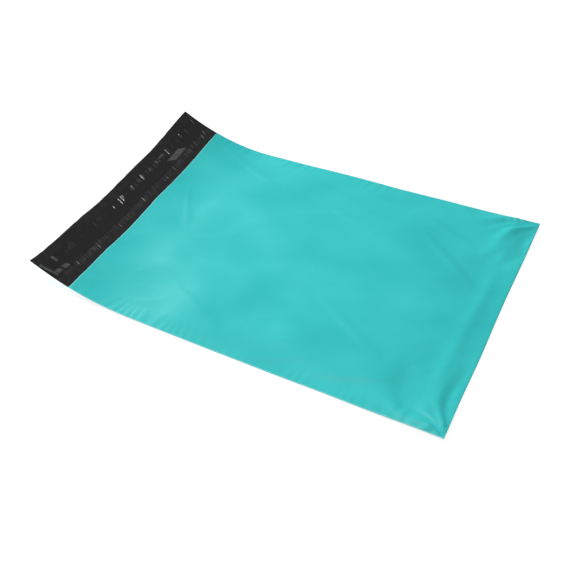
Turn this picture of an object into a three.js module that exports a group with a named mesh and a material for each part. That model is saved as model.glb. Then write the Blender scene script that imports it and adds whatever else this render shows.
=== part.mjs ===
// A self-seal poly mailer lying empty on a flat surface, millimetres, +Z up.
// One blown film is folded at the bottom end and welded along both sides. Its back
// wall runs on past the mouth as a flap, which curls up and shows the black inside.
//
// A place in the film has two distances. "along" runs from the bottom fold (0) past
// the mouth to the end of the flap, and "across" is Y, with 0 on the centreline.
// The bag's length lies along X, with the bottom fold at +X and the flap at -X.

import * as THREE from 'three';

// The bag's own sizes
const BAG_WIDTH = 250;
const POUCH_LENGTH = 350; // bottom fold to mouth
const FLAP_LENGTH = 42; // mouth to the end of the flap
const FILM_WALL = 0.8; // one wall, thicker than the real 0.06 so that it is a solid
const SIDE_WELD = 3; // width of the melted bead along each side
const BOTTOM_CREASE = 3; // stretch by the fold where both walls lie together
const AIR_GAP = 0.4; // air between the two walls in the middle of the pouch
const AIR_RISE = 70; // length over which the walls part, from the bottom crease
const MOUTH_GAP = 0.5; // how far the lip of the front wall stands off the back wall
const MOUTH_RISE = 60; // length over which the walls part to that, up to the mouth

// The closure on the flap's inner face
const INNER_PLY = 0.2; // the film's black inner layer
const ADHESIVE_TO_MOUTH = 16; // bare film between the mouth and the adhesive
const ADHESIVE_WIDTH = 9;
const ADHESIVE_THICKNESS = 0.3;
const ADHESIVE_INSET = 4; // bare film at each end of the adhesive
const LINER_LAP_MOUTH = 2; // how far the liner reaches past the adhesive towards the mouth
const LINER_LAP_END = 8; // and towards the end of the flap, as a lap to pull it off by
const LINER_INSET = 1; // bare film at each end of the liner
const LINER_THICKNESS = 0.2;

// How the mouth end curls up off the surface
const CURL_RADIUS = 200;
const CURL_REACH_SIDE = 70; // length of pouch that the curl takes in at the side welds
const CURL_REACH_MIDDLE = 50; // and on the centreline, where the film lies lower
const RIPPLE_HEIGHT = 0.6; // waves along the end of the flap
const RIPPLE_COUNT = 3;

// Longest side of a mesh cell
const CELL_ALONG = 14;
const CELL_ALONG_FLAP = 7;
const CELL_ACROSS = 14;

const HALF_WIDTH = BAG_WIDTH / 2;
const CAVITY_HALF_WIDTH = HALF_WIDTH - SIDE_WELD;
const FILM_LENGTH = POUCH_LENGTH + FLAP_LENGTH;
const CURL_START = POUCH_LENGTH - CURL_REACH_SIDE;
const BOTTOM_END_X = POUCH_LENGTH / 2;

const ADHESIVE_START = POUCH_LENGTH + ADHESIVE_TO_MOUTH;
const ADHESIVE_END = ADHESIVE_START + ADHESIVE_WIDTH;
const ADHESIVE_HALF_WIDTH = HALF_WIDTH - ADHESIVE_INSET;
const LINER_START = ADHESIVE_START - LINER_LAP_MOUTH;
const LINER_END = ADHESIVE_END + LINER_LAP_END;
const LINER_HALF_WIDTH = HALF_WIDTH - LINER_INSET;

// Heights of the layers on the flap, from the film's underside
const PLY_TOP = FILM_WALL + INNER_PLY;
const ADHESIVE_TOP = PLY_TOP + ADHESIVE_THICKNESS;
const LINER_TOP = ADHESIVE_TOP + LINER_THICKNESS;

const smooth = (t) => THREE.MathUtils.smoothstep(t, 0, 1);

// Distances from the first stop to the last, with each stop among them and no step
// longer than the one given.
function stations(stops, longestStep) {
  const sorted = [...new Set(stops)].sort((a, b) => a - b);
  const places = [sorted[0]];
  for (let i = 1; i < sorted.length; i++) {
    const length = sorted[i] - sorted[i - 1];
    const steps = Math.ceil(length / longestStep);
    for (let k = 1; k <= steps; k++) {
      places.push(k === steps ? sorted[i] : sorted[i - 1] + (length * k) / steps);
    }
  }
  return places;
}

const between = (places, low, high) => places.filter((p) => p >= low && p <= high);

const acrossStations = stations(
  [HALF_WIDTH, LINER_HALF_WIDTH, CAVITY_HALF_WIDTH, ADHESIVE_HALF_WIDTH, 0].flatMap(
    (place) => [-place, place],
  ),
  CELL_ACROSS,
);
const pouchStations = stations([0, BOTTOM_CREASE, CURL_START, POUCH_LENGTH], CELL_ALONG);
const flapStations = stations(
  [POUCH_LENGTH, LINER_START, ADHESIVE_START, ADHESIVE_END, LINER_END, FILM_LENGTH],
  CELL_ALONG_FLAP,
);

// The point at a height above the film's underside. The film lies flat from the bottom
// fold to where its curl starts, and then follows an arc that turns up.
function filmPoint(along, across, height) {
  const side = Math.abs(across) / HALF_WIDTH;
  const reach = THREE.MathUtils.lerp(CURL_REACH_MIDDLE, CURL_REACH_SIDE, side * side);
  const start = POUCH_LENGTH - reach;
  const angle = Math.max(0, along - start) / CURL_RADIUS;
  const flat = Math.min(along, start);
  const lift = smooth((along - start) / (FILM_LENGTH - start));
  const wave = Math.sin((2 * Math.PI * RIPPLE_COUNT * across) / BAG_WIDTH);
  return new THREE.Vector3(
    BOTTOM_END_X - flat - CURL_RADIUS * Math.sin(angle) + height * Math.sin(angle),
    across,
    CURL_RADIUS * (1 - Math.cos(angle)) + height * Math.cos(angle)
      + RIPPLE_HEIGHT * lift * wave,
  );
}

// The air between the two walls: none at the welds and the bottom crease, and more at
// the mouth than in the middle of the pouch.
function airGap(along, across) {
  const side = Math.min(1, Math.abs(across) / CAVITY_HALF_WIDTH);
  const fromCrease = smooth((along - BOTTOM_CREASE) / AIR_RISE);
  const toMouth = smooth((POUCH_LENGTH - along) / MOUTH_RISE);
  return THREE.MathUtils.lerp(MOUTH_GAP, AIR_GAP, toMouth) * fromCrease * (1 - side ** 4);
}

// A closed skin that grows face by face. Corners in the same place are one vertex.
class Skin {
  constructor() {
    this.positions = [];
    this.faces = [];
    this.known = new Map();
  }

  corner([along, across, height]) {
    const p = filmPoint(along, across, height);
    const key = p.toArray().map((value) => value.toFixed(4)).join();
    if (!this.known.has(key)) {
      this.known.set(key, this.positions.length / 3);
      this.positions.push(p.x, p.y, p.z);
    }
    return this.known.get(key);
  }

  // Four corners, anticlockwise seen from outside. Two of them may be one point.
  quad(...places) {
    const [a, b, c, d] = places.map((place) => this.corner(place));
    for (const face of [[a, b, c], [a, c, d]]) {
      if (new Set(face).size === 3) this.faces.push(...face);
    }
  }

  // One cell of a surface that faces up, or down when turned over. Its height is a
  // function of the place.
  cell([a0, a1], [c0, c1], height, down = false) {
    const loop = [[a0, c0], [a0, c1], [a1, c1], [a1, c0]];
    // Both ways round start at the same corner, so that two surfaces that lie face to
    // face are split along the same diagonal.
    if (down) loop.splice(1, 3, loop[3], loop[2], loop[1]);
    this.quad(...loop.map(([a, c]) => [a, c, height(a, c)]));
  }

  // One upright face of an edge from one place to another, with the solid on its left
  // seen from above.
  wall([a0, c0], [a1, c1], low, high) {
    this.quad(
      [a0, c0, low(a0, c0)], [a1, c1, low(a1, c1)],
      [a1, c1, high(a1, c1)], [a0, c0, high(a0, c0)],
    );
  }

  geometry() {
    const geometry = new THREE.BufferGeometry();
    geometry.setAttribute('position', new THREE.Float32BufferAttribute(this.positions, 3));
    geometry.setIndex(this.faces);
    geometry.computeVertexNormals();
    return geometry;
  }
}

const pairs = (places) => places.slice(1).map((place, i) => [places[i], place]);

// A strip of even thickness that lies in the film's curve, from one height to another.
function strip(alongs, acrosses, lowHeight, highHeight) {
  const skin = new Skin();
  const low = () => lowHeight;
  const high = () => highHeight;
  const [first, last] = [alongs[0], alongs.at(-1)];
  const [right, left] = [acrosses[0], acrosses.at(-1)];
  for (const a of pairs(alongs)) {
    for (const c of pairs(acrosses)) {
      skin.cell(a, c, high);
      skin.cell(a, c, low, true);
    }
    skin.wall([a[1], right], [a[0], right], low, high);
    skin.wall([a[0], left], [a[1], left], low, high);
  }
  for (const c of pairs(acrosses)) {
    skin.wall([first, c[0]], [first, c[1]], low, high);
    skin.wall([last, c[1]], [last, c[0]], low, high);
  }
  return skin.geometry();
}

// The film: back wall with its flap, front wall, and the open pouch between them.
function pouchFilm() {
  const skin = new Skin();
  const underside = () => 0;
  const backInside = () => FILM_WALL;
  const frontInside = (a, c) => FILM_WALL + airGap(a, c);
  const frontOutside = (a, c) => 2 * FILM_WALL + airGap(a, c);
  const isOpen = (c) => Math.abs(c[0] + c[1]) / 2 < CAVITY_HALF_WIDTH;

  for (const c of pairs(acrossStations)) {
    for (const a of pairs(flapStations)) {
      skin.cell(a, c, underside, true);
      skin.cell(a, c, backInside);
    }
    for (const a of pairs(pouchStations)) {
      skin.cell(a, c, underside, true);
      skin.cell(a, c, frontOutside);
      if (isOpen(c) && a[0] >= BOTTOM_CREASE) {
        skin.cell(a, c, backInside);
        skin.cell(a, c, frontInside, true);
      }
    }
    const lip = isOpen(c) ? frontInside : backInside;
    skin.wall([POUCH_LENGTH, c[1]], [POUCH_LENGTH, c[0]], lip, frontOutside);
    skin.wall([0, c[0]], [0, c[1]], underside, backInside);
    skin.wall([0, c[0]], [0, c[1]], backInside, frontOutside);
    skin.wall([FILM_LENGTH, c[1]], [FILM_LENGTH, c[0]], underside, backInside);
  }

  const [right, left] = [-HALF_WIDTH, HALF_WIDTH];
  for (const a of pairs([...pouchStations, ...flapStations.slice(1)])) {
    skin.wall([a[1], right], [a[0], right], underside, backInside);
    skin.wall([a[0], left], [a[1], left], underside, backInside);
  }
  for (const a of pairs(pouchStations)) {
    skin.wall([a[1], right], [a[0], right], backInside, frontOutside);
    skin.wall([a[0], left], [a[1], left], backInside, frontOutside);
  }
  return skin.geometry();
}

// The black inner layer where it shows, on the flap.
function innerPly() {
  return strip(flapStations, acrossStations, FILM_WALL, PLY_TOP);
}

// The band of pressure-sensitive adhesive on the flap.
function adhesiveStrip() {
  return strip(
    between(flapStations, ADHESIVE_START, ADHESIVE_END),
    between(acrossStations, -ADHESIVE_HALF_WIDTH, ADHESIVE_HALF_WIDTH),
    PLY_TOP,
    ADHESIVE_TOP,
  );
}

// The clear tape that covers the adhesive until the bag is closed.
function releaseLiner() {
  return strip(
    between(flapStations, LINER_START, LINER_END),
    between(acrossStations, -LINER_HALF_WIDTH, LINER_HALF_WIDTH),
    ADHESIVE_TOP,
    LINER_TOP,
  );
}

function node(name, geometry, color, roughness, opacity = 1) {
  const material = new THREE.MeshStandardMaterial({
    color,
    roughness,
    metalness: 0,
    opacity,
    transparent: opacity < 1,
  });
  const mesh = new THREE.Mesh(geometry, material);
  mesh.name = name;
  return mesh;
}

const bag = new THREE.Group();
bag.name = 'poly_mailer_bag';
bag.add(
  node('pouch_film', pouchFilm(), 0x40c4c4, 0.42),
  node('inner_ply', innerPly(), 0x2a2a2a, 0.4),
  node('adhesive_strip', adhesiveStrip(), 0x3a3a38, 0.55),
  node('release_liner', releaseLiner(), 0xb8bcbc, 0.15, 0.35),
);

export default bag;
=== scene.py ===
# %% [markdown]
# A poly mailer bag, as a lesson in thin film
#
# The bag is one blown plastic film, teal outside and black inside. It is folded at the
# bottom and welded along both sides, and its back wall runs on past the mouth as a
# flap. The frame holds the same bag as plain solids at their real size. Here each of
# them gets the looks of real film: waves, puckers, creases, gloss and cut edges.
# Lengths below are in metres, and mm turns millimetres into them.

# %% Load the frame
import math
import random

import bpy
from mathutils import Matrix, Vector, noise


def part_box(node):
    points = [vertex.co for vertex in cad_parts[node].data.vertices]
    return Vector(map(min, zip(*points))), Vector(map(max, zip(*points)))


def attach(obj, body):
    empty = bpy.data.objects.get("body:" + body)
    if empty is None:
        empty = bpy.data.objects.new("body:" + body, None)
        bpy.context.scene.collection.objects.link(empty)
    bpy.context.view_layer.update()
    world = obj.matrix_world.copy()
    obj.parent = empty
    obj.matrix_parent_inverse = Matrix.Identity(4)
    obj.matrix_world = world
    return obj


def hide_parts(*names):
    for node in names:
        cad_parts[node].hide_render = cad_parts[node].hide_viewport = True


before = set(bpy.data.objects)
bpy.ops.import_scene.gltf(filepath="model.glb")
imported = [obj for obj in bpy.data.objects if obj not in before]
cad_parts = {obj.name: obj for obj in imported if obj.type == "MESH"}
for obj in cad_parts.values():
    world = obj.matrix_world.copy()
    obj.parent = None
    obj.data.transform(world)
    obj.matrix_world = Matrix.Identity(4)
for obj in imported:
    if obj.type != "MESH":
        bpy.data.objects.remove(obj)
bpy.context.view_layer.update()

mm = 0.001
bpy.ops.object.select_all(action="DESELECT")
print("frame nodes:", sorted(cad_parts))

# %% [markdown]
# The camera comes first. A phone or studio camera looked down on the bag from beyond
# its near bottom corner, so the flap points away to the upper left. The place and turn
# below were worked out from the bag's corners in the picture, with the real sizes.

# %% Camera
CAMERA_AZIMUTH = math.radians(33.4)
CAMERA_ELEVATION = math.radians(46.5)
CAMERA_ROLL = math.radians(-7.1)
CAMERA_DISTANCE = 0.644
CAMERA_AIM = Vector((0.0031, -0.0388, 0.0))
CAMERA_LENS = 45.7


def add_camera():
    """A camera on the line from its aim, turned about that line by the roll."""
    back = Vector((
        math.sin(CAMERA_AZIMUTH) * math.cos(CAMERA_ELEVATION),
        -math.cos(CAMERA_AZIMUTH) * math.cos(CAMERA_ELEVATION),
        math.sin(CAMERA_ELEVATION),
    ))
    place = CAMERA_AIM + back * CAMERA_DISTANCE
    bpy.ops.object.camera_add(location=place)
    camera = bpy.context.object
    turn = back.to_track_quat("Z", "Y")
    camera.rotation_euler = turn.to_euler()
    camera.rotation_euler.rotate_axis("Z", CAMERA_ROLL)
    camera.data.lens = CAMERA_LENS
    camera.data.sensor_width = 36.0
    camera.data.clip_start = 0.01
    bpy.context.scene.camera = camera
    bpy.ops.object.select_all(action="DESELECT")
    return camera


camera = add_camera()
print("camera at", [round(v, 3) for v in camera.location])

# %% [markdown]
# Every layer of the bag lies in one curve: flat from the bottom fold, then an arc that
# turns up to the end of the flap. The arc starts later on the centreline than at the
# stiff side welds. A place in the film has two distances: along, from the bottom fold,
# and across, from the centreline. The function below turns such a place, and a height
# above the film's underside, into a point. All pieces use it, so they lie on each other
# as the solids of the frame do.

# %% The curve of the film
film_low, film_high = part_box("pouch_film")
BAG_WIDTH = film_high[1] - film_low[1]
HALF_WIDTH = BAG_WIDTH / 2
BOTTOM_END_X = film_high[0]
POUCH_LENGTH = 2 * BOTTOM_END_X
FLAP_LENGTH = 42 * mm
FILM_LENGTH = POUCH_LENGTH + FLAP_LENGTH
CURL_RADIUS = 200 * mm
CURL_REACH_SIDE = 70 * mm
CURL_REACH_MIDDLE = 50 * mm
RIPPLE_HEIGHT = 0.6 * mm
RIPPLE_COUNT = 3


def smooth(t):
    """0 below 0, 1 above 1, and a smooth rise between."""
    t = min(1.0, max(0.0, t))
    return t * t * (3 - 2 * t)


def blend_to(low, high, t):
    return low + (high - low) * t


def waves(along, across, size, seed, stretch=1.0):
    """Noise from -1 to 1 whose bumps are about size wide, and longer along."""
    return noise.noise(Vector((along / (size * stretch), across / size, seed)))


def edge_lift(along, across):
    """How far the stiff welded edges and bottom corners stand off the surface."""
    side = 1 if across > 0 else -1
    away = math.hypot(along, HALF_WIDTH - abs(across))
    beside = smooth((abs(across) - HALF_WIDTH + 26 * mm) / (26 * mm))
    edge = beside * max(0.0, waves(along, 0, 80 * mm, 5.7 * side) + 0.15)
    return 1.5 * mm * (1 - smooth(away / (60 * mm))) + 1.6 * mm * edge


def film_point(along, across, height=0.0):
    side = abs(across) / HALF_WIDTH
    start = POUCH_LENGTH - blend_to(CURL_REACH_MIDDLE, CURL_REACH_SIDE, side * side)
    angle = max(0.0, along - start) / CURL_RADIUS
    lift = smooth((along - start) / (FILM_LENGTH - start))
    wave = math.sin(2 * math.pi * RIPPLE_COUNT * across / BAG_WIDTH)
    reach = CURL_RADIUS - height
    up = RIPPLE_HEIGHT * lift * wave + edge_lift(along, across) * (1 - lift)
    stray = waves(along, 0, 60 * mm, 4.2 if across > 0 else 7.9)
    return Vector((
        BOTTOM_END_X - min(along, start) - reach * math.sin(angle),
        across * (1 + 0.004 * stray),
        CURL_RADIUS - reach * math.cos(angle) + up,
    ))


print("bag", round(BAG_WIDTH / mm), "mm wide, pouch", round(POUCH_LENGTH / mm), "mm long")

# %% [markdown]
# A sheet starts as a flat grid. Its rows and columns needn't be even: film needs close
# rows where it puckers or is cut, and wide ones where it is calm. So a grid primitive is
# added with the right number of faces, and each of its corners is then moved to the
# place that its row and column stand for, as a sculptor would pull it.

# %% Sheets from a grid
def spaced(*stops):
    """Places from stop to stop. After the first, a stop is (place, longest step)."""
    places = [stops[0]]
    for place, step in stops[1:]:
        start = places[-1]
        count = max(1, math.ceil(abs(place - start) / step - 1e-6))
        places += [start + (place - start) * k / count for k in range(1, count + 1)]
    return places


def mirrored(half):
    """Places from -last to last, from places that run from 0 out to last."""
    return [-place for place in reversed(half[1:])] + half


def add_sheet(name, rows, columns, surface):
    """A grid whose corner at a row and a column lies at surface(row, column)."""
    bpy.ops.mesh.primitive_grid_add(
        x_subdivisions=len(rows) - 1, y_subdivisions=len(columns) - 1, size=1
    )
    sheet = bpy.context.object
    sheet.name = sheet.data.name = name
    for vertex in sheet.data.vertices:
        row = round((vertex.co.x + 0.5) * (len(rows) - 1))
        column = round((vertex.co.y + 0.5) * (len(columns) - 1))
        vertex.co = surface(rows[row], columns[column])
    return sheet


def apply_modifiers(piece):
    for modifier in list(piece.modifiers):
        bpy.ops.object.modifier_apply(modifier=modifier.name)


def add_thickness(sheet, thickness, inner_slot=0):
    """Gives a sheet its wall, on the side that its faces turn away from."""
    solidify = sheet.modifiers.new("wall", "SOLIDIFY")
    solidify.thickness = thickness
    solidify.offset = -1
    solidify.material_offset = inner_slot
    apply_modifiers(sheet)


def finish_piece(piece, slot, *nodes):
    """Smooth shading with crisp cut edges and the body it rides on. The slot is not used."""
    bpy.ops.object.shade_smooth_by_angle(angle=math.radians(50))
    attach(piece, "root")
    if nodes:
        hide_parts(*nodes)
    bpy.ops.object.select_all(action="DESELECT")
    print(piece.name, "has", len(piece.data.polygons), "faces")


# %% [markdown]
# Film is never flat. Air between the walls lifts the front, handling leaves long soft
# waves and a few straight creases, and the side welds shrink as they cool, which gathers
# the film beside them into short puckers. Each is a small height that is added to the
# film's own. Smooth noise gives the waves, and sines whose phase drifts give the puckers.

# %% The heights of waves, creases and puckers
FILM = 0.15 * mm  # the wall as it shows, since real film of 0.06 mm would flicker
WELD_HEIGHT = 0.34 * mm  # both walls pressed together
AIR_HEIGHT = 2.5 * mm
MOUTH_HEIGHT = 2.1 * mm
FOLD_HEIGHT = 1.1 * mm
AIR_RISE = 70 * mm
MOUTH_RISE = 60 * mm
WAVE_HEIGHT = 1.7 * mm
SMALL_WAVE_HEIGHT = 0.8 * mm
WELD_PUCKER_HEIGHT = 0.40 * mm
PLEAT_HEIGHT = 1.05 * mm
BAND_HEIGHT = 0.80 * mm
LIP_WAVE_HEIGHT = 0.8 * mm
CORNER_REACH = 80 * mm


def crinkle(along, across, size, seed):
    """Sharp little ridges, longer than they are apart, where noise crosses zero."""
    skewed = across + 0.35 * along
    ridge = 1 - min(1.0, 5 * abs(waves(along, skewed, size, seed, 2.4)))
    return ridge * ridge


def crease(along, across, start, end, width):
    """1 at the middle of the line from start to end, 0 at its ends and at width from it."""
    line = Vector(end) - Vector(start)
    offset = Vector((along, across)) - Vector(start)
    t = offset.dot(line) / line.length_squared
    if not 0 < t < 1:
        return 0.0
    away = (offset - line * t).length
    return max(0.0, 1 - away / width) * math.sin(math.pi * t) ** 0.5


def weld_puckers(along, across):
    """Short gathers that run in from the side welds, in clusters."""
    inward = HALF_WIDTH - abs(across)
    side = 1 if across > 0 else -1
    if inward > 40 * mm:
        return 0.0
    drift = 2.2 * waves(along, 0, 30 * mm, 7.3 * side)
    phase = 2 * math.pi * along / (9 * mm) + 3 * drift + inward / (5 * mm) * drift
    cluster = smooth(0.5 + 1.4 * waves(along, 0, 45 * mm, 3.1 * side))
    return math.sin(phase) * cluster * math.exp(-inward / (7 * mm))


def corner_folds(along, across):
    """Diagonal pleats that run in from both bottom corners."""
    inward = HALF_WIDTH - abs(across)
    away = math.hypot(along, inward)
    if away > 95 * mm:
        return 0.0
    side = 1 if across > 0 else -1
    turn = math.atan2(inward, along) + 0.5 * waves(along, across, 40 * mm, 5.5 * side)
    pleats = math.sin(8 * turn + side) + 0.5 * math.sin(17 * turn)
    return pleats * smooth(away / (16 * mm)) * (1 - smooth(away / (95 * mm)))


def fold_band(along, across):
    """A low ridge beside the bottom fold, left by the bag's packing."""
    middle = 19 * mm + 5 * mm * waves(0, across, 60 * mm, 6.6)
    down = (along - middle) / (6 * mm)
    return math.exp(-down * down) * (0.6 + waves(along, across, 50 * mm, 2.9))


def cut_wander(across, seed):
    """How far a cut edge strays from its straight line."""
    return mm * (0.5 * waves(0, across, 34 * mm, seed) + 0.3 * waves(0, across, 8 * mm, seed + 1))


# Each crease has its two ends, the width of its slopes and its height.
CREASES = (
    ((330 * mm, 112 * mm), (246 * mm, 78 * mm), 5 * mm, 0.80 * mm),
    ((334 * mm, 44 * mm), (300 * mm, -10 * mm), 4 * mm, 0.35 * mm),
    ((290 * mm, -66 * mm), (205 * mm, -104 * mm), 5 * mm, 0.60 * mm),
    ((215 * mm, 84 * mm), (128 * mm, 52 * mm), 5 * mm, 0.60 * mm),
    ((148 * mm, -34 * mm), (70 * mm, -78 * mm), 5 * mm, 0.70 * mm),
    ((112 * mm, 100 * mm), (40 * mm, 70 * mm), 5 * mm, 0.80 * mm),
    ((96 * mm, 76 * mm), (30 * mm, 26 * mm), 5 * mm, 0.70 * mm),
    ((118 * mm, -114 * mm), (52 * mm, -92 * mm), 5 * mm, 0.50 * mm),
)


def front_height(along, across):
    """The front wall's outer face, from the film's underside."""
    side = min(1.0, abs(across) / HALF_WIDTH)
    crown = 1 - side**4
    fill = blend_to(MOUTH_HEIGHT, AIR_HEIGHT, smooth((POUCH_LENGTH - along) / MOUTH_RISE))
    fill = blend_to(FOLD_HEIGHT, fill, smooth(along / AIR_RISE))
    inside = smooth(along / (25 * mm)) * smooth((1 - side) * 7)
    beside_weld = smooth((1 - side) * 60)
    height = blend_to(WELD_HEIGHT, fill, crown)
    height += inside * WAVE_HEIGHT * waves(along, across, 64 * mm, 1.7, 1.5)
    height += inside * SMALL_WAVE_HEIGHT * waves(along, across, 27 * mm, 4.9, 1.6)
    height += beside_weld * WELD_PUCKER_HEIGHT * weld_puckers(along, across)
    height += beside_weld * PLEAT_HEIGHT * corner_folds(along, across)
    height += beside_weld * BAND_HEIGHT * fold_band(along, across)
    corner = 1 - smooth(math.hypot(along, HALF_WIDTH - abs(across)) / CORNER_REACH)
    height += beside_weld * (0.14 + 0.36 * corner) * mm * crinkle(along, across, 32 * mm, 3.3)
    height += beside_weld * (0.03 + 0.24 * corner) * mm * crinkle(along, across, 15 * mm, 8.1)
    for start, end, width, rise in CREASES:
        height += rise * crease(along, across, start, end, width)
    lip = smooth((along - POUCH_LENGTH + 14 * mm) / (14 * mm))
    height += lip * crown * LIP_WAVE_HEIGHT * waves(0, across, 30 * mm, 3.7)
    return max(height, 2 * FILM)


def back_height(along, across):
    """The back wall's outer face: on the surface, with a few low puckers."""
    lifted = 0.12 * mm * (1 + weld_puckers(along + 4 * mm, across))
    lifted += 0.10 * mm * (1 + waves(along, across, 34 * mm, 8.8, 2.0))
    return lifted * smooth((HALF_WIDTH - abs(across)) / (4 * mm)) * 0.5


print("front wall stands", round(front_height(0.2, 0.0) / mm, 2), "mm high in the middle")

# %% [markdown]
# The film is modelled as it is made: one sheet that runs from the lip of the front wall,
# round the bottom fold and along the back wall to the end of the flap. Solidify then
# gives it a wall on its inner side, and its material offset makes that side black, as the
# two layers of the real film are. The rows are close at the cut lip, at the fold and on
# the flap.

# %% The folded film
def painted_edge_highlight(place, edge):
    """1 on a cut edge and 0 from 0.9 mm away, for the painted highlight, a pale line where the
    edge catches the light.
    """
    return max(0.0, 1 - abs(place - edge) / (0.9 * mm))


def film_rows():
    """(wall, along) from the lip to the end of the flap, with a turn for along on the fold."""
    front = spaced(
        POUCH_LENGTH,
        (POUCH_LENGTH - 1.5 * mm, 0.5 * mm),
        (POUCH_LENGTH - 10 * mm, 1.4 * mm),
        (FOLD_HEIGHT / 2, 1.9 * mm),
    )
    back = spaced(
        FOLD_HEIGHT / 2,
        (POUCH_LENGTH - 4 * mm, 3.6 * mm),
        (FILM_LENGTH - 1.5 * mm, 1.6 * mm),
        (FILM_LENGTH, 0.75 * mm),
    )
    turns = 6
    fold = [math.pi * k / turns for k in range(1, turns)]
    return (
        [("front", along) for along in front]
        + [("fold", turn) for turn in fold]
        + [("back", along) for along in back]
    )


def front_cut(along, across):
    near = smooth((along - POUCH_LENGTH + 6 * mm) / (6 * mm))
    return along + near * cut_wander(across, 4.4)


def flap_cut(along, across):
    near = smooth((along - FILM_LENGTH + 6 * mm) / (6 * mm))
    return along + near * cut_wander(across, 9.9)


def fold_stray(along, across):
    """The bottom fold isn't quite straight."""
    near = 1 - smooth(along / (10 * mm))
    return along + near * 0.7 * mm * waves(0, across, 55 * mm, 12.3)


def film_surface(row, across):
    wall, place = row
    if wall == "front":
        height = front_height(place, across)
        along = fold_stray(front_cut(place, across), across)
        return film_point(along, across, height)
    if wall == "back":
        height = back_height(place, across)
        along = fold_stray(flap_cut(place, across), across)
        return film_point(along, across, height)
    top = front_height(FOLD_HEIGHT / 2, across)
    low = back_height(FOLD_HEIGHT / 2, across)
    middle, radius = (top + low) / 2, (top - low) / 2
    along = FOLD_HEIGHT / 2 - FOLD_HEIGHT / 2 * math.sin(place)
    height = middle + radius * math.cos(place)
    return film_point(fold_stray(along, across), across, height)


film_columns = mirrored(spaced(
    0.0,
    (HALF_WIDTH - 16 * mm, 2.3 * mm),
    (HALF_WIDTH - 1.5 * mm, 1.1 * mm),
    (HALF_WIDTH, 0.5 * mm),
))
mailer_film = add_sheet("mailer_film", film_rows(), film_columns, film_surface)
print("film grid:", len(film_rows()), "rows and", len(film_columns), "columns")

# %% [markdown]
# A hot knife cuts and seals each side in one stroke, so the edge is a thin bead of melted
# film. It gets a painted highlight, paler than the film, where it catches the light. It is
# a curve along the edge with a round section, turned into a mesh. Its thickness wanders a
# little, as melt does.

# %% Side weld beads
BEAD_RADIUS = 0.27 * mm
BEAD_STEP = 2.5 * mm


def weld_bead(name, side):
    """A bead from the bottom fold to the mouth along one side (-1 or 1)."""
    bpy.ops.curve.primitive_bezier_curve_add()
    bead = bpy.context.object
    bead.name = bead.data.name = name
    bead.data.dimensions = "3D"
    bead.data.splines.remove(bead.data.splines[0])
    places = spaced(BEAD_RADIUS, (POUCH_LENGTH, BEAD_STEP))
    line = bead.data.splines.new("POLY")
    line.points.add(len(places) - 1)
    across = side * (HALF_WIDTH - BEAD_RADIUS)
    for point, along in zip(line.points, places):
        point.co = (*film_point(along, across, BEAD_RADIUS), 1)
        point.radius = 1 + 0.22 * waves(along, 0, 6 * mm, 5 * side)
    bead.data.bevel_depth = BEAD_RADIUS
    bead.data.bevel_resolution = 2
    bead.data.use_fill_caps = True
    bpy.ops.object.convert(target="MESH")
    return bpy.context.object


# %% [markdown]
# The black side shows on the flap. The adhesive there shrinks as it cools and gathers
# the film on both sides of it: a loose row of sharp little ridges towards the end of the
# flap, which fades towards one side, and a dense band of fine ones towards the mouth.
# Each pucker is a narrow ridge that runs along the bag, a little askew. The random
# numbers come from a seeded generator, so each run gives the same puckers.

# %% Puckers on the flap
PUCKER_SLANT = 0.20
PUCKER_STEP = 0.27 * mm  # about half of a pucker's width
chance = random.Random(11)


def pucker_row(middle, spread, spacing, jitter, length, width, height, fade, shares):
    """(along, across, length, width, height) of each pucker in a row over the flap.

    The row runs middle from the mouth, give or take spread, with a pucker at each
    spacing, give or take jitter of it. Each takes one of the shares of the height, and
    heights fall to fade of themselves towards the right side of the bag.
    """
    row = []
    across = -HALF_WIDTH + 5 * mm
    while across < HALF_WIDTH - 5 * mm:
        faded = blend_to(fade, 1, smooth((across + 75 * mm) / (65 * mm)))
        row.append((
            POUCH_LENGTH + middle + chance.uniform(-spread, spread),
            across,
            length * chance.uniform(0.7, 1.2),
            width * chance.uniform(0.8, 1.2),
            height * faded * chance.choice(shares),
        ))
        across += spacing * chance.uniform(1 - jitter, 1 + jitter)
    return row


outer_row = pucker_row(
    middle=27.8 * mm,
    spread=0.8 * mm,
    spacing=4.3 * mm,
    jitter=0.7,
    length=3.8 * mm,
    width=0.58 * mm,
    height=0.50 * mm,
    fade=0.5,
    shares=(0.2, 0.35, 0.5, 0.7, 0.85, 1.0),
)
inner_row = pucker_row(
    middle=10.2 * mm,
    spread=1.2 * mm,
    spacing=2.3 * mm,
    jitter=0.4,
    length=4.3 * mm,
    width=0.62 * mm,
    height=0.42 * mm,
    fade=0.85,
    shares=(0.4, 0.45, 0.5, 0.55, 0.6, 0.65, 0.7, 1.0),
)
PUCKER_BIN = 5 * mm
puckers_near = {}
for pucker in outer_row + inner_row:
    spot = math.floor(pucker[1] / PUCKER_BIN)
    for near in (spot - 1, spot, spot + 1):
        puckers_near.setdefault(near, []).append(pucker)


def pucker_height(along, across):
    total = 0.0
    for middle, line, length, width, height in puckers_near.get(
        math.floor(across / PUCKER_BIN), ()
    ):
        down = (along - middle) / length
        if abs(down) < 1.6:
            aside = (across - line - PUCKER_SLANT * (along - middle)) / width
            total += height * math.exp(-(down**4) - aside * aside)
    return total


ADHESIVE_START = POUCH_LENGTH + 16 * mm
ADHESIVE_END = ADHESIVE_START + 9 * mm
ADHESIVE_HALF_WIDTH = HALF_WIDTH - 4 * mm
LINER_START = ADHESIVE_START - 2 * mm
LINER_END = ADHESIVE_END + 8 * mm
LINER_HALF_WIDTH = HALF_WIDTH - 1 * mm
PLY_HEIGHT = 0.42 * mm
PLY = 0.08 * mm


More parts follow.
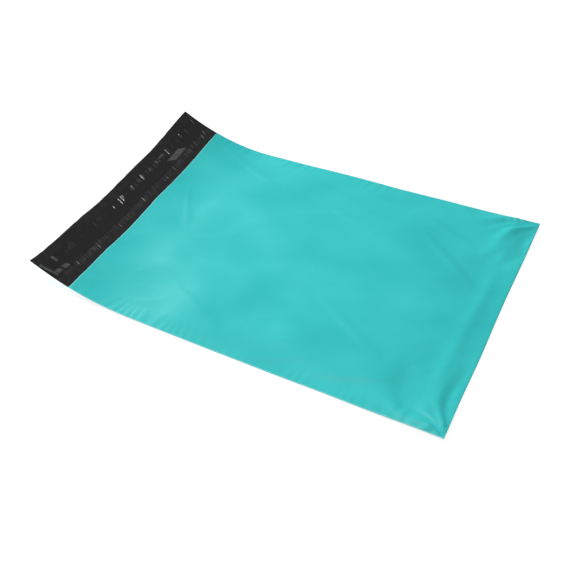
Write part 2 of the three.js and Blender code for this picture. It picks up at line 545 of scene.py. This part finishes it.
def ply_height(along, across):
    """The black face on the flap. It meets the teal film at its cut edges."""
    edge = min(FILM_LENGTH - along, HALF_WIDTH - abs(across)) / (3 * mm)
    height = blend_to(FILM + PLY, PLY_HEIGHT, smooth(edge))
    height += smooth(edge) * 0.16 * mm * waves(along, across, 11 * mm, 2.2)
    height += smooth(edge) * 0.05 * mm * waves(along, across, 3.5 * mm, 6.1)
    return height + pucker_height(along, across)


print("puckers:", len(outer_row), "in the outer row,", len(inner_row), "in the inner row")

# %% [markdown]
# On the real bag the black layer is part of the film. Here the flap's black face is its
# own thin sheet, since it needs far closer columns than the rest to carry its puckers.
# Its rows stop at the edges of the adhesive and of the liner, so both can share them.

# %% The black inner ply of the flap
def ply_surface(along, across):
    return film_point(flap_cut(along, across), across, ply_height(along, across))


flap_rows = spaced(
    FILM_LENGTH - 0.2 * mm,
    (LINER_END, 1.0 * mm),
    (ADHESIVE_END, 0.9 * mm),
    (ADHESIVE_START, 0.9 * mm),
    (LINER_START, 0.7 * mm),
    (POUCH_LENGTH + 0.3 * mm, 1.0 * mm),
)
flap_columns = mirrored(spaced(
    0.0,
    (ADHESIVE_HALF_WIDTH, PUCKER_STEP),
    (LINER_HALF_WIDTH, PUCKER_STEP),
    (HALF_WIDTH - 0.1 * mm, PUCKER_STEP),
))
print("flap grid:", len(flap_rows), "rows and", len(flap_columns), "columns")

# %% [markdown]
# The adhesive is a clear hot melt, laid as a flat band that shows as a smoother, darker
# stripe. The release liner over it is a clear tape. It is wider than the adhesive, so its
# outer edge is loose enough to be gripped. It follows the puckers, and where it has let
# go of the adhesive its gloss is a painted reflection, grey in the base colour. Over black
# film a clear tape shows only by its gloss, so its material is a dark glossy one. A
# see-through one would add nothing but grain, as the layers are only a tenth of a
# millimetre apart.

# %% Adhesive and liner
ADHESIVE_RISE = 0.12 * mm
LINER = 0.05 * mm
LINER_RISE = 0.10 * mm


def adhesive_surface(along, across):
    edge = min(along - ADHESIVE_START, ADHESIVE_END - along,
               ADHESIVE_HALF_WIDTH - abs(across)) / (1.0 * mm)
    bead = ADHESIVE_RISE * (0.4 + 0.6 * smooth(edge))
    return film_point(along, across, ply_height(along, across) + bead)


# Places where the liner has let go: the middle, half its length and half its width on
# the flap, and how far it leans.
POCKETS = (
    (POUCH_LENGTH + 24.0 * mm, -121.4 * mm, 9.0 * mm, 1.1 * mm, 0.15),
    (POUCH_LENGTH + 29.0 * mm, -108.0 * mm, 3.6 * mm, 1.3 * mm, 0.05),
    (POUCH_LENGTH + 17.2 * mm, -107.0 * mm, 2.2 * mm, 2.8 * mm, 0.40),
    (POUCH_LENGTH + 17.6 * mm, -115.6 * mm, 2.0 * mm, 2.9 * mm, 0.50),
    (POUCH_LENGTH + 18.2 * mm, 74.0 * mm, 3.2 * mm, 10.0 * mm, 1.20),
    (POUCH_LENGTH + 30.0 * mm, 61.0 * mm, 1.0 * mm, 4.0 * mm, 0.60),
    (POUCH_LENGTH + 29.0 * mm, 52.0 * mm, 1.8 * mm, 1.2 * mm, 0.40),
)


def liner_pocket(along, across):
    """1 inside a pocket under the liner, 0 outside, with a narrow edge between."""
    most = 0.0
    for middle, line, half_length, half_width, lean in POCKETS:
        down = along - middle
        aside = across - line + lean * down
        inside = min(half_length - abs(down), half_width - abs(aside)) / (0.8 * mm)
        most = max(most, smooth(0.5 + inside))
    return most


def liner_surface(along, across):
    loose = smooth((along - ADHESIVE_END) / (6 * mm))
    wrinkle = waves(along, across, 9 * mm, 9.4, 0.6)
    lift = LINER_RISE + ADHESIVE_RISE + loose * 0.12 * mm * (1 + wrinkle)
    end = smooth((abs(across) - LINER_HALF_WIDTH + 7 * mm) / (7 * mm))
    lift += end * 0.30 * mm * (1 + waves(along, across, 5 * mm, 3.3))
    lift += 0.15 * mm * liner_pocket(along, across)
    return film_point(along, across, ply_height(along, across) + lift)


def within(places, low, high):
    """The places from low to high, so that the layers share their rows and columns."""
    return [place for place in places if low - 1e-7 <= place <= high + 1e-7]


adhesive_rows = within(flap_rows, ADHESIVE_START, ADHESIVE_END)
adhesive_columns = within(flap_columns, -ADHESIVE_HALF_WIDTH, ADHESIVE_HALF_WIDTH)
liner_rows = within(flap_rows, LINER_START, LINER_END)
liner_columns = within(flap_columns, -LINER_HALF_WIDTH, LINER_HALF_WIDTH)
print("adhesive rows:", len(adhesive_rows), "and liner rows:", len(liner_rows))

# %% [markdown]
# The finishes come from shader nodes that read Object coordinates, so each pattern stays
# with its piece. Blown film has long faint lines along the bag, from the slit that it is
# drawn through, and a satin gloss that varies with handling. The cut edges get a painted
# highlight, a pale line where they catch the light.

# %% Node helpers
def new_material(name):
    material = bpy.data.materials.new(name)
    material.use_nodes = True
    nodes = material.node_tree.nodes
    return material, nodes, material.node_tree.links, nodes["Principled BSDF"]


def add_noise(nodes, links, scale, stretch=(1, 1, 1), detail=3.0):
    """Noise on Object coordinates, with stretch as the scale along each axis."""
    coordinates = nodes.new("ShaderNodeTexCoord")
    mapping = nodes.new("ShaderNodeMapping")
    mapping.inputs["Scale"].default_value = stretch
    texture = nodes.new("ShaderNodeTexNoise")
    texture.inputs["Scale"].default_value = scale
    texture.inputs["Detail"].default_value = detail
    links.new(coordinates.outputs["Object"], mapping.inputs["Vector"])
    links.new(mapping.outputs["Vector"], texture.inputs["Vector"])
    return texture.outputs["Fac"]


def add_range(nodes, links, value, low, high, start=0.3, end=0.7):
    """Maps start..end of a value to low..high."""
    node = nodes.new("ShaderNodeMapRange")
    node.inputs["From Min"].default_value = start
    node.inputs["From Max"].default_value = end
    node.inputs["To Min"].default_value = low
    node.inputs["To Max"].default_value = high
    links.new(value, node.inputs["Value"])
    return node.outputs["Result"]


def add_mix(nodes, links, factor, first, second):
    """A colour between two: each is a colour or another node's output."""
    node = nodes.new("ShaderNodeMix")
    node.data_type = "RGBA"
    links.new(factor, node.inputs["Factor"])
    for socket, colour in ((node.inputs["A"], first), (node.inputs["B"], second)):
        if isinstance(colour, tuple):
            socket.default_value = (*colour, 1)
        else:
            links.new(colour, socket)
    return node.outputs["Result"]


def add_bump(nodes, links, height, distance, strength, before=None):
    node = nodes.new("ShaderNodeBump")
    node.inputs["Distance"].default_value = distance
    node.inputs["Strength"].default_value = strength
    links.new(height, node.inputs["Height"])
    if before is not None:
        links.new(before, node.inputs["Normal"])
    return node.outputs["Normal"]


# %% Teal film
def teal_film_material():
    material, nodes, links, shader = new_material("teal_film")
    clouds = add_noise(nodes, links, 14, (1, 1.6, 1), 2.0)
    drawn = add_noise(nodes, links, 60, (0.12, 6, 1), 4.0)
    grain = add_noise(nodes, links, 2400, (1, 1, 1), 2.0)
    cloudy = add_mix(
        nodes, links, add_range(nodes, links, clouds, 0, 1),
        (0.028, 0.520, 0.522), (0.038, 0.575, 0.575),
    )
    # A painted highlight: the attribute read here turns the colour pale teal on the cut edges,
    # for the light that they catch.
    edge = nodes.new("ShaderNodeAttribute")
    edge.attribute_name = "painted_edge_highlight"
    colour = add_mix(nodes, links, edge.outputs["Fac"], cloudy, (0.30, 0.80, 0.79))
    links.new(colour, shader.inputs["Base Color"])
    links.new(add_range(nodes, links, clouds, 0.30, 0.42), shader.inputs["Roughness"])
    lines = add_bump(nodes, links, drawn, 0.05 * mm, 0.35)
    links.new(add_bump(nodes, links, grain, 0.02 * mm, 0.25, lines), shader.inputs["Normal"])
    shader.inputs["Specular IOR Level"].default_value = 0.3
    return material


# %% [markdown]
# The black layer is coloured with carbon black, so nearly all that shows of it is gloss.
# A fine mottle in roughness keeps that gloss from being one clean mirror. The adhesive
# is smoother and darker still, and the liner is the glossiest. The liner's attribute
# says where it has let go, and there a painted reflection turns it grey, with streaks
# along the bag.

# %% Black film
def black_film_material():
    material, nodes, links, shader = new_material("black_film")
    mottle = add_noise(nodes, links, 160, (1, 1, 1), 5.0)
    grain = add_noise(nodes, links, 1500, (1, 1, 1), 3.0)
    colour = add_mix(
        nodes, links, add_range(nodes, links, mottle, 0, 1),
        (0.0085, 0.0085, 0.0088), (0.0150, 0.0150, 0.0153),
    )
    links.new(colour, shader.inputs["Base Color"])
    links.new(add_range(nodes, links, mottle, 0.17, 0.27), shader.inputs["Roughness"])
    links.new(add_bump(nodes, links, grain, 0.03 * mm, 0.3), shader.inputs["Normal"])
    shader.inputs["Specular IOR Level"].default_value = 0.45
    return material


# %% Adhesive
def adhesive_material():
    material, nodes, links, shader = new_material("adhesive")
    flow = add_noise(nodes, links, 220, (1, 0.3, 1), 3.0)
    colour = add_mix(
        nodes, links, add_range(nodes, links, flow, 0, 1),
        (0.008, 0.008, 0.008), (0.013, 0.013, 0.0125),
    )
    links.new(colour, shader.inputs["Base Color"])
    links.new(add_range(nodes, links, flow, 0.16, 0.30), shader.inputs["Roughness"])
    shader.inputs["Specular IOR Level"].default_value = 0.25
    return material


# %% Clear liner
def liner_material():
    material, nodes, links, shader = new_material("clear_liner")
    pocket = nodes.new("ShaderNodeAttribute")
    pocket.attribute_name = "painted_pocket_gloss"
    streaks = add_noise(nodes, links, 420, (0.3, 1, 1), 3.0)
    # A painted reflection: grey with streaks, for the gloss where the liner has let go.
    grey = add_mix(
        nodes, links, add_range(nodes, links, streaks, 0, 1),
        (0.048, 0.048, 0.049), (0.100, 0.100, 0.102),
    )
    colour = add_mix(nodes, links, pocket.outputs["Fac"], (0.0095, 0.0095, 0.0095), grey)
    links.new(colour, shader.inputs["Base Color"])
    shader.inputs["Roughness"].default_value = 0.16
    shader.inputs["Specular IOR Level"].default_value = 0.45
    return material


teal_film = teal_film_material()
black_film = black_film_material()
adhesive = adhesive_material()
clear_liner = liner_material()
print("materials:", teal_film.name, black_film.name, adhesive.name, clear_liner.name)

# %% [markdown]
# With the finishes made, each sheet gets its wall, its material and its place in the
# frame. The painted highlight on the cut edges, a pale line where they catch the light,
# is a number at each point of the mesh, which the teal material reads. It is painted
# before the wall is added, so the wall carries it too.

# %% Finish the film
def choose(piece):
    """Makes a piece the only one that operators act on."""
    bpy.ops.object.select_all(action="DESELECT")
    piece.select_set(True)
    bpy.context.view_layer.objects.active = piece


def paint_edge_highlights(sheet, rows, columns):
    """Marks the painted highlight on the lip of the front wall and on the strip beside each weld.
    """
    lines = sheet.data.attributes.new("painted_edge_highlight", "FLOAT", "POINT")
    count = len(rows)
    for vertex in sheet.data.vertices:
        row, column = vertex.index % count, vertex.index // count
        wall, along = rows[row]
        lip = painted_edge_highlight(along, POUCH_LENGTH) if wall == "front" else 0.0
        # The strip beside each weld gets a weaker painted highlight.
        side = 0.6 * painted_edge_highlight(abs(columns[column]), HALF_WIDTH)
        lines.data[vertex.index].value = max(lip, side)


choose(mailer_film)
paint_edge_highlights(mailer_film, film_rows(), film_columns)
mailer_film.data.materials.append(teal_film)
mailer_film.data.materials.append(black_film)
add_thickness(mailer_film, FILM, inner_slot=1)
finish_piece(mailer_film, "teal_film", "pouch_film")

# %% [markdown]
# The beads take the teal material with most of the painted highlight of the cut edges,
# a pale line where the bead catches the light. They stand for no solid of their own,
# since the weld is part of the film.

# %% Finish the welds
def finish_bead(bead):
    # The whole bead gets most of the painted highlight of the cut edges.
    lines = bead.data.attributes.new("painted_edge_highlight", "FLOAT", "POINT")
    for value in lines.data:
        value.value = 0.7
    bead.data.materials.append(teal_film)
    finish_piece(bead, "teal_film")


for bead_name, bead_side in (("side_weld_right", -1), ("side_weld_left", 1)):
    finish_bead(weld_bead(bead_name, bead_side))

# %% [markdown]
# The layers of the flap are finished from the bottom up. Each is built on the heights of
# the one below it, so the puckers go through all of them, as they do on the real flap.

# %% Finish the flap's face, adhesive and liner
flap_face = add_sheet("flap_inner_ply", flap_rows, flap_columns, ply_surface)
flap_face.data.materials.append(black_film)
add_thickness(flap_face, PLY)
finish_piece(flap_face, "black_film", "inner_ply")

adhesive_band = add_sheet(
    "adhesive_band", adhesive_rows, adhesive_columns, adhesive_surface
)
adhesive_band.data.materials.append(adhesive)
add_thickness(adhesive_band, 0.4 * ADHESIVE_RISE)
finish_piece(adhesive_band, "adhesive", "adhesive_strip")

liner_tape = add_sheet("liner_tape", liner_rows, liner_columns, liner_surface)
# The mask of the painted reflection: 1 in the pockets where the liner has let go.
painted_pocket_gloss = liner_tape.data.attributes.new("painted_pocket_gloss", "FLOAT", "POINT")
for vertex in liner_tape.data.vertices:
    row, column = vertex.index % len(liner_rows), vertex.index // len(liner_rows)
    painted_pocket_gloss.data[vertex.index].value = liner_pocket(liner_rows[row], liner_columns[column])
liner_tape.data.materials.append(clear_liner)
add_thickness(liner_tape, LINER)
finish_piece(liner_tape, "clear_liner", "release_liner")

# %% [markdown]
# The stage is a pale floor that shows as white to the camera but still takes the bag's
# shadow, in a plain white world, so colours come out about as they are written. A small
# lamp overhead draws the thin glints on the flap's puckers. A large one around it lights
# the rest softly, and a low one from beyond the flap brings out the waves and creases.

# %% Floor, lamps and world
FLOOR_SIZE = 6.0
FLOOR_GAP = 0.05 * mm
FLOOR_GLOW = 1.16  # what lifts the lit floor to white for the camera
FLOOR_GLOW_SHARE = 0.68  # the rest is the lit floor itself, with its shadow
WORLD_LEVEL = 0.35


def add_floor():
    bpy.ops.mesh.primitive_plane_add(size=FLOOR_SIZE, location=(0, 0, -FLOOR_GAP))
    floor = bpy.context.object
    floor.name = "floor"
    material, nodes, links, shader = new_material("floor")
    shader.inputs["Base Color"].default_value = (0.88, 0.88, 0.88, 1)
    shader.inputs["Roughness"].default_value = 0.9
    shader.inputs["Specular IOR Level"].default_value = 0.0
    path = nodes.new("ShaderNodeLightPath")
    white = nodes.new("ShaderNodeEmission")
    mix = nodes.new("ShaderNodeMixShader")
    share = nodes.new("ShaderNodeMath")
    share.operation = "MULTIPLY"
    white.inputs["Strength"].default_value = FLOOR_GLOW
    share.inputs[1].default_value = FLOOR_GLOW_SHARE
    links.new(path.outputs["Is Camera Ray"], share.inputs[0])
    links.new(share.outputs["Value"], mix.inputs["Fac"])
    links.new(shader.outputs["BSDF"], mix.inputs[1])
    links.new(white.outputs["Emission"], mix.inputs[2])
    links.new(mix.outputs["Shader"], nodes["Material Output"].inputs["Surface"])
    floor.data.materials.append(material)
    bpy.ops.object.select_all(action="DESELECT")


def add_lamp(name, place, aim, size, power):
    bpy.ops.object.light_add(type="AREA", location=place)
    lamp = bpy.context.object
    lamp.name = name
    lamp.data.size = size
    lamp.data.energy = power
    lamp.rotation_euler = (Vector(place) - Vector(aim)).to_track_quat("Z", "Y").to_euler()
    bpy.ops.object.select_all(action="DESELECT")


def set_world(strength):
    world = bpy.data.worlds.new("studio")
    bpy.context.scene.world = world
    world.use_nodes = True
    nodes, links = world.node_tree.nodes, world.node_tree.links
    background = nodes["Background"]
    background.inputs["Color"].default_value = (1, 1, 1, 1)
    path = nodes.new("ShaderNodeLightPath")
    level = nodes.new("ShaderNodeMapRange")
    level.inputs["To Min"].default_value = strength
    level.inputs["To Max"].default_value = 1.0
    links.new(path.outputs["Is Camera Ray"], level.inputs["Value"])
    links.new(level.outputs["Result"], background.inputs["Strength"])


add_floor()
add_lamp("overhead_lamp", (-0.30, -0.20, 1.25), (-0.1, 0, 0), size=0.16, power=4.6)
add_lamp("overhead_softbox", (-0.12, -0.20, 1.30), (-0.1, 0, 0), size=1.0, power=3.2)
add_lamp("side_softbox", (-1.35, 0.55, 0.52), (0, 0, 0), size=0.8, power=21)
set_world(WORLD_LEVEL)
bpy.context.scene.view_settings.view_transform = "Standard"
